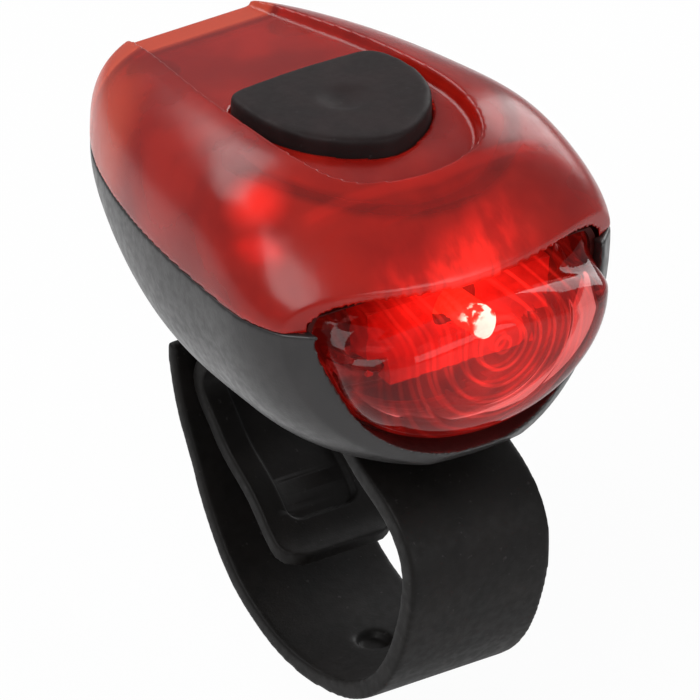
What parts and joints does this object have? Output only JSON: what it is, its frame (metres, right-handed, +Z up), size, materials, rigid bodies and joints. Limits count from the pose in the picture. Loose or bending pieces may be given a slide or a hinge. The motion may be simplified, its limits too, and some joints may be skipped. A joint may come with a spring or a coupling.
{
  "type": "bike tail light",
  "caption": "Rechargeable bike tail light with a translucent red top, a ringed clear lens, a rubber button and a wide rubber strap loop",
  "frame": {"origin": "middle of the bar space inside the strap loop, on the light's middle plane", "axes": "+Z up from the bar space to the light, the beam points along -Y, X along the bar or post"},
  "size_m": [0.0374, 0.0484, 0.0531],
  "materials": {
    "red_cover": "translucent satin red",
    "grey_shell": "dark grey satin",
    "lens_clear": "clear, smoky tint, ringed",
    "seal_rubber": "black rubber",
    "button_rubber": "soft matte black",
    "strap_rubber": "matte black silicone",
    "board_green": "green board",
    "red_light_guide": "bright red",
    "led": "clear red emitter",
    "black_plastic": "matte",
    "cell_foil": "satin foil",
    "foam": "grey foam",
    "nickel": "bright nickel",
    "steel": "zinc plated"
  },
  "bodies": {
    "light": {"top_cover": "red_cover", "bottom_housing": "grey_shell", "lens": "lens_clear", "lens_gasket": "seal_rubber", "housing_seal": "seal_rubber", "battery_pad": "foam", "battery": "cell_foil", "battery_tabs": "nickel", "main_board": "board_green", "board_screws": "steel", "led_board": "board_green", "board_pins": "nickel", "main_led": "led", "reflector": "red_light_guide", "side_leds": "led", "control_chip": "black_plastic", "charge_chip": "black_plastic", "power_coil": "black_plastic", "capacitors": "nickel", "button_switch": "black_plastic", "usb_socket": "nickel", "usb_tongue": "black_plastic", "housing_screws": "steel", "strap_pin": "steel", "strap_pad": "strap_rubber"},
    "button": {"button": "button_rubber"},
    "switch_stem": {"switch_stem": "black_plastic"},
    "usb_cover": {"usb_cover": "strap_rubber"},
    "strap": {"strap": "strap_rubber"}
  },
  "joints": [
    {"name": "button_press", "type": "slide", "parent": "light", "child": "button", "axis": [0, 0, -1], "range_m": [0, 0.0008], "stiffness_N_per_m": 2500, "springref_m": -0.0006},
    {"name": "switch_travel", "type": "slide", "parent": "light", "child": "switch_stem", "axis": [0, 0, -1], "range_m": [0, 0.0008]},
    {"name": "usb_cover_hinge", "type": "hinge", "parent": "light", "child": "usb_cover", "pos_m": [-0.0049, 0.03125, 0.0222], "axis": [0, 0, 1], "range_deg": [0, 110]},
    {"name": "strap_hinge", "type": "hinge", "parent": "light", "child": "strap", "pos_m": [0, 0.0215, 0.0096], "axis": [1, 0, 0], "range_deg": [0, 45]}
  ],
  "couplings": [
    {"joint": "switch_travel", "follows": "button_press", "ratio": 1}
  ]
}
